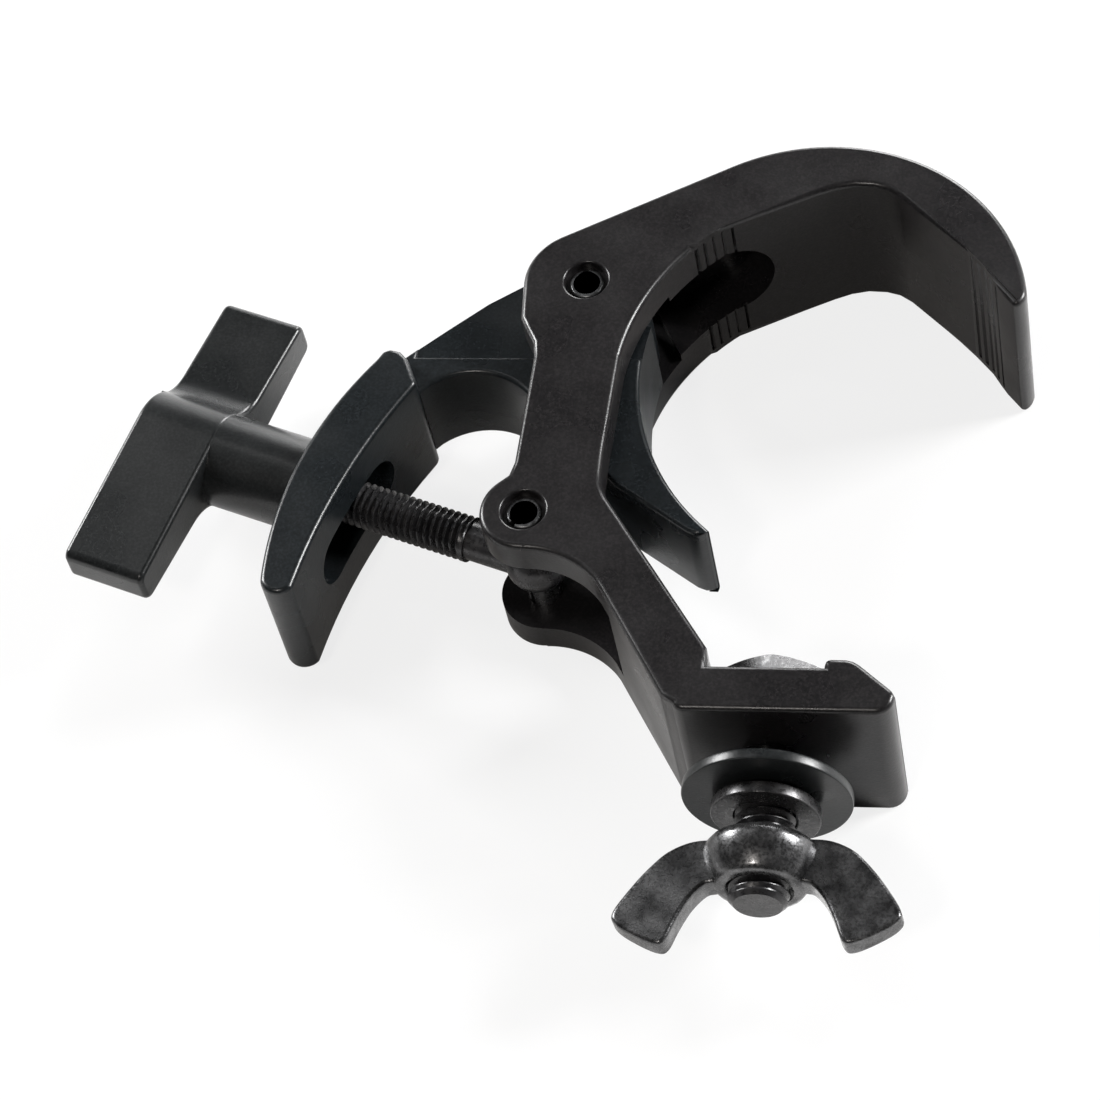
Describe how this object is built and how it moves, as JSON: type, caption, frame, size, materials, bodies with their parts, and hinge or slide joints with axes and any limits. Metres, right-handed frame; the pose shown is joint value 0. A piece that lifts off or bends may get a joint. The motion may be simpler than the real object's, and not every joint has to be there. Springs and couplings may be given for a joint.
{
  "type": "pipe clamp",
  "caption": "Hook clamp for a round tube: a hinged jaw closed by a swing bolt with a T handle, and a foot with a bolt and wing nut.",
  "frame": {"origin": "centre of the gripped tube, on the middle plane of the clamp's width", "axes": "+Z along the gripped tube, the clamp lies on its flat -Z side; +Y from the foot towards the hook, -Y the way the foot bolt points; -X towards the handle"},
  "size_m": [0.1632, 0.1486, 0.032],
  "materials": {
    "black_casting": "satin",
    "black_lever": "satin",
    "black_handle": "satin",
    "dark_pins": "satin",
    "black_oxide": "semi-gloss",
    "spring_steel": "semi-gloss",
    "plain_steel": "satin",
    "brass_bush": "satin",
    "black_washer": "satin",
    "glossy_black_plate": "glossy"
  },
  "bodies": {
    "clamp_body": {"body": "black_casting", "jaw_pivot_pin": "dark_pins", "bolt_pivot_pin": "dark_pins", "mounting_bolt": "black_oxide"},
    "jaw": {"jaw_lever": "black_lever"},
    "swing_bolt": {"eye_bolt": "black_oxide", "rod_end_ring": "spring_steel"},
    "handle_seat": {"thrust_washer": "plain_steel"},
    "handle": {"knob_handle": "black_handle", "knob_insert": "brass_bush"},
    "bolt_washer": {"flat_washer": "black_washer"},
    "lock_washer": {"spring_washer": "spring_steel"},
    "nut": {"wing_nut": "glossy_black_plate"}
  },
  "joints": [
    {"name": "jaw_swing", "type": "hinge", "parent": "clamp_body", "child": "jaw", "pos_m": [-0.0425, 0.0066, 0], "axis": [0, 0, 1], "range_deg": [-6.6, 22.05]},
    {"name": "bolt_swing", "type": "hinge", "parent": "clamp_body", "child": "swing_bolt", "pos_m": [-0.0483, -0.0407, 0], "axis": [0, 0, 1], "range_deg": [-6.8, 22.7]},
    {"name": "handle_travel", "type": "slide", "parent": "swing_bolt", "child": "handle_seat", "axis": [-0.9444, 0.3289, 0], "range_m": [-0.01825, 0.00545]},
    {"name": "handle_turn", "type": "hinge", "parent": "handle_seat", "child": "handle", "pos_m": [-0.0483, -0.0407, 0], "axis": [-0.9444, 0.3289, 0], "range_deg": [-5240, 1550]},
    {"name": "washer_travel", "type": "slide", "parent": "clamp_body", "child": "bolt_washer", "axis": [0, 1, 0], "range_m": [-0.00178, 0.00555]},
    {"name": "wing_nut_turn", "type": "hinge", "parent": "bolt_washer", "child": "lock_washer", "pos_m": [-0.0056, -0.09, 0], "axis": [0, 1, 0], "range_deg": [-720, 2250]},
    {"name": "wing_nut_travel", "type": "slide", "parent": "lock_washer", "child": "nut", "axis": [0, 1, 0], "range_m": [-0.00123, 0.00381]}
  ],
  "couplings": [
    {"joint": "handle_travel", "follows": "handle_turn", "m_per_rad": 0.00019894},
    {"joint": "jaw_swing", "follows": "handle_turn", "ratio": -0.0041972},
    {"joint": "bolt_swing", "follows": "handle_turn", "ratio": -0.0043116},
    {"joint": "wing_nut_turn", "follows": "washer_travel", "rad_per_m": 7056.8},
    {"joint": "wing_nut_travel", "follows": "washer_travel", "ratio": 0.68468}
  ]
}
